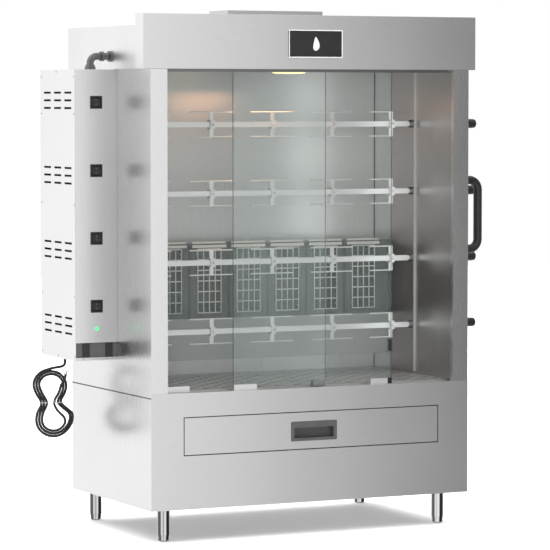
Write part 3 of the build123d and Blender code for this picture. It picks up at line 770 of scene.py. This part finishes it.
def painted_shade_sheet():
    """A near-black sheet under the slotted plate: painted shade seen through the slots."""
    mesh = bmesh.new()
    low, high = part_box("floor_grate")
    border = 0.016
    gap = 0.0006
    thick = 0.001
    near = (low.x + border, low.y + border, low.z + gap)
    far = (high.x - border, high.y - border, low.z + gap + thick)
    # Painted shade: this dark sheet darkens what shows through the slots.
    add_block(mesh, near, far)
    return piece(mesh, "painted_shade_sheet", "grease", smooth=False)


# -------------------- burners
burner_count = 7
guard_width = 0.094


def burner_places():
    """Middle of each burner window, from the guards' node."""
    low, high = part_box("burner_guards")
    pitch = (high.x - low.x - guard_width) / (burner_count - 1)
    return [low.x + guard_width / 2 + pitch * index for index in range(burner_count)]


def burner_wires():
    """Round-wire guards: five uprights and seven cross wires before each burner, and their feet."""
    mesh = bmesh.new()
    low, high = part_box("burner_guards")
    radius = 0.0021
    plane = low.y + radius
    half = guard_width / 2 - radius
    behind = 0.0012                        # the cross wires are pressed into the uprights
    inset = 0.02
    foot_length = 0.010
    columns = 4
    rows = 6
    for x in burner_places():
        for column in range(columns + 1):
            wire_x = x - half + 2 * half * column / columns
            add_tube(mesh, [(wire_x, plane, low.z), (wire_x, plane, high.z)], radius)
        for row in range(rows + 1):
            wire_z = low.z + radius + (high.z - low.z - 2 * radius) * row / rows
            ends = [(x - half, plane + behind, wire_z), (x + half, plane + behind, wire_z)]
            add_tube(mesh, ends, radius)
        for side in (-1, 1):
            for foot_z in (low.z + inset, high.z - inset):
                foot_x = x + side * half
                add_tube(mesh, [(foot_x, plane, foot_z), (foot_x, plane + foot_length, foot_z)], radius)
    return piece(mesh, "burner_wire_guards", "wire_steel", stands_for=["burner_guards"])


def burner_hoods():
    """A narrow strip over each burner window, leaning back against the box's upper edge."""
    mesh = bmesh.new()
    low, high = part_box("burner_housing")
    face = low.y
    foot = high.z - 0.0145
    half = 0.0655
    section = [
        (face - 0.0025, foot), (face, foot), (face + 0.0050, foot + 0.0200), (face + 0.0030, foot + 0.0210),
    ]
    for x in burner_places():
        near = [mesh.verts.new((x - half, y, z)) for y, z in section]
        far = [mesh.verts.new((x + half, y, z)) for y, z in section]
        join_rings(mesh, [near, far])
    return piece(mesh, "burner_hoods", "hood_trim", smooth=False)


def burner_joints():
    """Dark gaps between neighbouring burner boxes, and a clamp nut at the top of each."""
    mesh = bmesh.new()
    low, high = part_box("burner_housing")
    half = 0.0045
    thick = 0.0006
    nut = [(0.0, 0.0085), (0.010, 0.0085), (0.0115, 0.0070)]
    nut_z = high.z - 0.009
    places = burner_places()
    for before, after in zip(places, places[1:]):
        x = (before + after) / 2
        top = (x + half, low.y + thick, high.z - 0.019)
        add_block(mesh, (x - half, low.y - thick, guard_foot), top)
        add_turned(mesh, (x, low.y + 0.003, nut_z), (0, -1, 0), nut, 6)
    return piece(mesh, "burner_joints", "seam_dark", smooth=False)


def cavity_seams():
    """Sealed corner joints at the back of the oven."""
    mesh = bmesh.new()
    floor_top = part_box("floor_grate")[1].z
    low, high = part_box("cavity_liner")
    wall = 0.002
    bead = 0.0022
    corner_y = high.y - wall
    top = high.z - 0.004
    for x in (low.x + wall, high.x - wall - bead):
        add_block(mesh, (x, corner_y - bead, floor_top), (x + bead, corner_y, top))
    return piece(mesh, "cavity_seams", "seam_dark", smooth=False)


def base_gasket():
    """Black gasket squeezed between the base and the oven, seen along both sides and the back."""
    mesh = bmesh.new()
    proud = 0.0004
    sunk = 0.0005
    near_y = front + 0.002
    low_z = shell_high.z - 0.0022
    high_z = shell_high.z + 0.0018
    add_block(mesh, (left - proud, near_y, low_z), (left + sunk, back, high_z))
    add_block(mesh, (right - sunk, near_y, low_z), (right + proud, back, high_z))
    add_block(mesh, (left, back - sunk, low_z), (right, back + proud, high_z))
    return piece(mesh, "base_gasket", "seam_dark", smooth=False)


# -------------------- screws
def add_screw(mesh, place, out, radius, height):
    """A pan-head screw with a cross cut in it, standing out of a face."""
    forward = Vector(out).normalized()
    across, up = frame_of(forward)
    origin = Vector(place)
    sides = 20
    profile = [(0.0, radius), (height * 0.45, radius), (height * 0.8, radius * 0.84), (height, radius * 0.55)]
    rings = [ring(mesh, origin + forward * along, size, across, up, sides) for along, size in profile]
    for near, far in zip(rings, rings[1:]):
        for index in range(sides):
            after = (index + 1) % sides
            mesh.faces.new((near[index], near[after], far[after], far[index]))
    top = origin + forward * height
    floor_point = origin + forward * height * 0.3
    long = radius * 0.46
    narrow = radius * 0.13
    outline = []
    for quarter in range(4):
        angle = quarter * pi / 2
        ahead = cos(angle) * across + sin(angle) * up
        beside = -sin(angle) * across + cos(angle) * up
        outline += [ahead * long - beside * narrow, ahead * long + beside * narrow, (ahead + beside) * narrow]
    cut_top = [mesh.verts.new(top + offset) for offset in outline]
    cut_low = [mesh.verts.new(floor_point + offset * 0.8) for offset in outline]
    count = len(outline)
    for index in range(count):
        after = (index + 1) % count
        mesh.faces.new((cut_top[index], cut_top[after], cut_low[after], cut_low[index]))
    mesh.faces.new(cut_low)
    rim = rings[-1]
    bmesh.ops.bridge_loops(
        mesh,
        edges=[mesh.edges.get((rim[index], rim[(index + 1) % sides])) for index in range(sides)]
        + [mesh.edges.get((cut_top[index], cut_top[(index + 1) % count])) for index in range(count)],
    )


def cover_screws():
    """Screws round the control box's cover and along its lower lip."""
    mesh = bmesh.new()
    cover_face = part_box("side_cover")[0].x
    box_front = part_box("control_box_body")[0].y
    near_y = front + 0.2895
    far_y = front + 0.582
    places = [(y, z) for y in (near_y, far_y) for z in (1.553, 1.428, 1.123, 0.813, 0.612)]
    places += [(front + 0.446, 1.570), (front + 0.436, 0.605)]
    height = 0.0015
    lip_z = 0.602
    for y, z in places:
        add_screw(mesh, (cover_face, y, z), (-1, 0, 0), 0.0035, height)
    for inset in (0.124, 0.040, 0.020):
        add_screw(mesh, (left - inset, box_front, lip_z), (0, -1, 0), 0.0026, height)
    return piece(mesh, "cover_screw_heads", "screw_steel", stands_for=["cover_screws"])


def rear_screws():
    """Screws that hold the rear panels, hood back and base back."""
    mesh = bmesh.new()
    edge = 0.02
    radius = 0.004
    height = 0.002
    gaps = 5
    for z in (0.14, 0.30, 0.46, 0.52, 0.78, 1.04, 1.30, 1.55, 1.60, 1.70):
        for x in (left + edge, right - edge):
            add_screw(mesh, (x, back, z), (0, 1, 0), radius, height)
    for z in (0.14, 0.46, 0.52, 1.55, 1.60, 1.70):
        for index in range(1, gaps):
            x = left + edge + (right - left - 2 * edge) * index / gaps
            add_screw(mesh, (x, back, z), (0, 1, 0), radius, height)
    return piece(mesh, "rear_screw_heads", "screw_steel")


# -------------------- small fittings
def nameplate_border():
    """Pale rim round the black plate."""
    mesh = bmesh.new()
    low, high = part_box("nameplate")
    face = low.y
    rim = 0.0034
    depth = 0.0022
    proud = 0.0004
    for x0, x1, z0, z1 in (
        (low.x, high.x, low.z, low.z + rim), (low.x, high.x, high.z - rim, high.z),
        (low.x, low.x + rim, low.z + rim, high.z - rim), (high.x - rim, high.x, low.z + rim, high.z - rim),
    ):
        add_block(mesh, (x0, face - proud, z0), (x1, face + depth, z1))
    return piece(mesh, "nameplate_rim", "pale_trim", smooth=False, bevel=0.0005)


def nameplate_motif():
    """A plain flame in the middle of the plate, with no lettering."""
    mesh = bmesh.new()
    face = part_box("nameplate")[0].y + 0.0011
    centre = centre_of(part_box("nameplate"))
    depth = 0.0009
    steps = 28
    height = 0.046
    half_width = 0.0155
    narrowing = 0.62                       # from foot to tip
    lean = 0.0025
    outline = []
    for step in range(steps):
        angle = tau * step / steps
        lift = 0.5 * (1 + cos(angle))
        width = half_width * sin(angle) * (1.0 - narrowing * lift)
        outline.append((centre.x + width + lean * sin(pi * lift), centre.z + height * (lift - 0.5)))
    near = [mesh.verts.new((x, face - depth, z)) for x, z in outline]
    far = [mesh.verts.new((x, face, z)) for x, z in outline]
    for index in range(len(outline)):
        after = (index + 1) % len(outline)
        mesh.faces.new((near[index], near[after], far[after], far[index]))
    mesh.faces.new(near)
    return piece(mesh, "nameplate_flame", "pale_trim", smooth=False)


def lamp_dome():
    """Ribbed glass of the oven lamp, bellied down below its flat CAD lens."""
    mesh = bmesh.new()
    low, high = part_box("lamp_lens")
    start = centre_of(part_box("lamp_lens"))
    start.z = high.z
    neck = 0.0535
    rim = (high.x - low.x) / 2
    rim_top = 0.004
    point = 0.0001
    profile = [(0.0, point), (0.0, neck), (rim_top, neck), (rim_top, rim), (0.0085, rim - 0.0003)]
    profile += [(0.0125, rim - 0.002), (0.0155, rim - 0.006), (0.0168, rim - 0.014)]
    profile += [(0.0174, rim - 0.030), (0.0176, point)]
    add_turned(mesh, start, (0, 0, -1), profile, 40)
    return piece(mesh, "lamp_dome", "lamp_glass", stands_for=["lamp_lens"])


def rocker_marks():
    """A bar on the upper half of each rocker and a ring on the lower half."""
    for number in range(1, 5):
        mesh = bmesh.new()
        centre = centre_of(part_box(f"rocker_{number}"))
        hinge_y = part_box("control_box_body")[0].y + 0.005
        upper_face = hinge_y - 0.00575
        lower_face = hinge_y - 0.00785
        lower_slope = 0.224
        half = 0.0008
        thick = 0.0004
        radius = 0.0030
        ring_z = centre.z - 0.0072
        add_block(mesh, (centre.x - half, upper_face - thick, centre.z + 0.004),
                  (centre.x + half, upper_face + thick, centre.z + 0.010))
        points = []
        for step in range(20):
            angle = tau * step / 20
            lift = radius * sin(angle)
            points.append((centre.x + radius * cos(angle), lower_face + lower_slope * lift, ring_z + lift))
        add_tube(mesh, points, 0.0005, count=6, closed=True)
        piece(mesh, f"rocker_mark_{number}", "mark_paint", body=f"rocker_{number}")


def grip_washers():
    """A steel washer where each spit's grip meets its shaft."""
    bore = 0.0064
    edge = 0.011
    thick = 0.004
    profile = [(0.0, bore), (0.0, edge), (thick, edge), (thick, bore)]
    for number in range(1, 5):
        mesh = bmesh.new()
        start = centre_of(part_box(f"spit_{number}_grip"))
        start.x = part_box(f"spit_{number}_grip")[0].x - thick
        add_turned(mesh, start, (1, 0, 0), profile)
        piece(mesh, f"grip_washer_{number}", "screw_steel", body=f"spit_{number}")


def handle_roses():
    """A raised rose on the wall at each foot of the side handle."""
    mesh = bmesh.new()
    low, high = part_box("side_handle")
    y = (low.y + high.y) / 2
    inset = 0.015
    profile = [(0.0, 0.0188), (0.0055, 0.0188), (0.0070, 0.0172), (0.0070, 0.010)]
    for z in (low.z + inset, high.z - inset):
        add_turned(mesh, (right, y, z), (1, 0, 0), profile)
    piece(mesh, "handle_roses", "black_grip")


# -------------------- studio
def card(name, centre, size, facing, stops):
    """A glowing card that shows only in glossy reflections, brighter or darker along its width."""
    mesh = bmesh.new()
    half_width = size[0] / 2
    half_height = size[1] / 2
    across, up = frame_of(facing)
    turns = ((-1, -1), (1, -1), (1, 1), (-1, 1))
    places = [centre + across * side * half_width + up * end * half_height for side, end in turns]
    mesh.faces.new([mesh.verts.new(place) for place in places])
    data = bpy.data.meshes.new(name)
    mesh.to_mesh(data)
    mesh.free()
    made = put_in_scene(name, data)
    material = bpy.data.materials.new(name)
    material.use_nodes = True
    tree = material.node_tree
    tree.nodes.clear()
    place = tree.nodes.new("ShaderNodeTexCoord")
    split = tree.nodes.new("ShaderNodeSeparateXYZ")
    span = tree.nodes.new("ShaderNodeMapRange")
    ramp = tree.nodes.new("ShaderNodeValToRGB")
    glow = tree.nodes.new("ShaderNodeEmission")
    out = tree.nodes.new("ShaderNodeOutputMaterial")
    tree.links.new(place.outputs["Object"], split.inputs["Vector"])
    tree.links.new(split.outputs["X"], span.inputs["Value"])
    span.inputs["From Min"].default_value = centre.x - half_width
    span.inputs["From Max"].default_value = centre.x + half_width
    tree.links.new(span.outputs["Result"], ramp.inputs["Fac"])
    tree.links.new(ramp.outputs["Color"], glow.inputs["Color"])
    tree.links.new(glow.outputs["Emission"], out.inputs["Surface"])
    fill_ramp(ramp, stops)
    data.materials.append(material)
    made.visible_camera = False
    made.visible_diffuse = False
    made.visible_shadow = False
    made.visible_transmission = False


def world_light():
    """A white studio: bright overhead and to the left and back, dimmer to the right and front.

    The part overhead is dimmer in mirrored rays, and the camera sees plain white.
    """
    world = bpy.data.worlds.new("studio")
    bpy.context.scene.world = world
    world.use_nodes = True
    tree = world.node_tree
    tree.nodes.clear()
    direction = tree.nodes.new("ShaderNodeTexCoord").outputs["Generated"]
    split = tree.nodes.new("ShaderNodeSeparateXYZ")
    tree.links.new(direction, split.inputs["Vector"])
    lean = tree.nodes.new("ShaderNodeVectorMath")
    lean.operation = "DOT_PRODUCT"
    lean.inputs[1].default_value = (0.62, -0.78, 0.0)
    tree.links.new(direction, lean.inputs[0])
    path = tree.nodes.new("ShaderNodeLightPath")

    def graded(source, start, end, low, high):
        """Maps a value between start and end to one between low and high, easing at both ends."""
        node = tree.nodes.new("ShaderNodeMapRange")
        node.interpolation_type = "SMOOTHSTEP"
        for name, value in (("From Min", start), ("From Max", end), ("To Min", low), ("To Max", high)):
            node.inputs[name].default_value = value
        tree.links.new(source, node.inputs["Value"])
        return node.outputs["Result"]

    def combined(operation, first, second):
        """One sum on two values."""
        node = tree.nodes.new("ShaderNodeMath")
        node.operation = operation
        tree.links.new(first, node.inputs[0])
        tree.links.new(second, node.inputs[1])
        return node.outputs["Value"]

    def white():
        """A white background shader."""
        node = tree.nodes.new("ShaderNodeBackground")
        node.inputs["Color"].default_value = (1, 1, 1, 1)
        return node

    side = graded(lean.outputs["Value"], -0.35, 0.85, 1.04, 0.22)
    top = graded(split.outputs["Z"], 0.35, 1.0, 0.0, 2.8)
    mirrored = graded(path.outputs["Is Glossy Ray"], 0.0, 1.0, 1.0, 0.06)
    light = white()
    strength = combined("ADD", side, combined("MULTIPLY", top, mirrored))
    tree.links.new(strength, light.inputs["Strength"])
    choose = tree.nodes.new("ShaderNodeMixShader")
    out = tree.nodes.new("ShaderNodeOutputWorld")
    tree.links.new(path.outputs["Is Camera Ray"], choose.inputs["Fac"])
    tree.links.new(light.outputs["Background"], choose.inputs[1])
    tree.links.new(white().outputs["Background"], choose.inputs[2])
    tree.links.new(choose.outputs["Shader"], out.inputs["Surface"])


def area_light(name, place, target, size, power, color=(1, 1, 1)):
    """A rectangular light that faces its target."""
    data = bpy.data.lights.new(name, "AREA")
    data.shape = "RECTANGLE"
    data.size = size[0]
    data.size_y = size[1]
    data.energy = power
    data.color = color
    made = put_in_scene(name, data)
    made.location = place
    made.rotation_euler = (Vector(target) - Vector(place)).to_track_quat("-Z", "Y").to_euler()
    return made


def lights():
    """Studio lights, and the oven's own lamp."""
    sky = area_light("overhead", (0.3, 0.0, 4.5), (0.1, 0.0, 0.0), (10.0, 10.0), 230)
    sky.visible_glossy = False
    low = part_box("lamp_lens")[0]
    centre_y = centre_of(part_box("lamp_lens")).y
    lamp_place = (middle, centre_y + 0.10, low.z - 0.075)
    lamp_target = (middle, centre_y + 0.16, 0)
    lamp = area_light("oven_lamp", lamp_place, lamp_target, (0.26, 0.26), 0.62, (1.0, 0.50, 0.24))
    lamp.data.shape = "DISK"
    fill_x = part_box("cavity_liner")[1].x - 0.035
    fill_z = 1.10
    fill_place = (fill_x, front + 0.075, fill_z)
    area_light("right_fill", fill_place, (fill_x, back, fill_z), (0.06, 1.05), 0.20, (0.94, 1.0, 0.98))


def floor():
    """Plain pale floor. It is left out of glossy reflections, as the cards are the studio there."""
    mesh = bmesh.new()
    reach = 14.0
    corners = [(-reach, -reach, 0), (reach, -reach, 0), (reach, reach, 0), (-reach, reach, 0)]
    mesh.faces.new([mesh.verts.new(corner) for corner in corners])
    data = bpy.data.meshes.new("studio_floor")
    mesh.to_mesh(data)
    mesh.free()
    made = put_in_scene("studio_floor", data)
    shader = Shader("studio_floor", grey(0.92), 0.9)
    data.materials.append(shader.material)
    made.visible_glossy = False


def camera():
    """A long lens far off to the front left, looking slightly down."""
    turned = 26.0235
    tipped = 3.2944
    data = bpy.data.cameras.new("camera")
    data.sensor_width = 36.0
    data.lens = 201.04
    made = put_in_scene("camera", data)
    made.location = (-4.69687, -9.62882, 1.48018)
    made.rotation_euler = (radians(90 - tipped), 0, -radians(turned))
    bpy.context.scene.camera = made
    bpy.context.scene.view_settings.view_transform = "Standard"


camera()
power_cord()
paint_nodes()
floor_plate()
painted_shade_sheet()
burner_wires()
burner_hoods()
burner_joints()
cavity_seams()
base_gasket()
cover_screws()
rear_screws()
nameplate_border()
nameplate_motif()
lamp_dome()
rocker_marks()
grip_washers()
handle_roses()
world_light()
lights()
floor()
card("front_card", Vector((1.4, -3.4, 1.0)), (5.0, 8.0), Vector((0, 1, 0)),
     [(0.0, 1.08), (0.34, 1.06), (0.49, 0.70), (0.60, 0.30), (0.70, 0.09), (1.0, 0.05)])
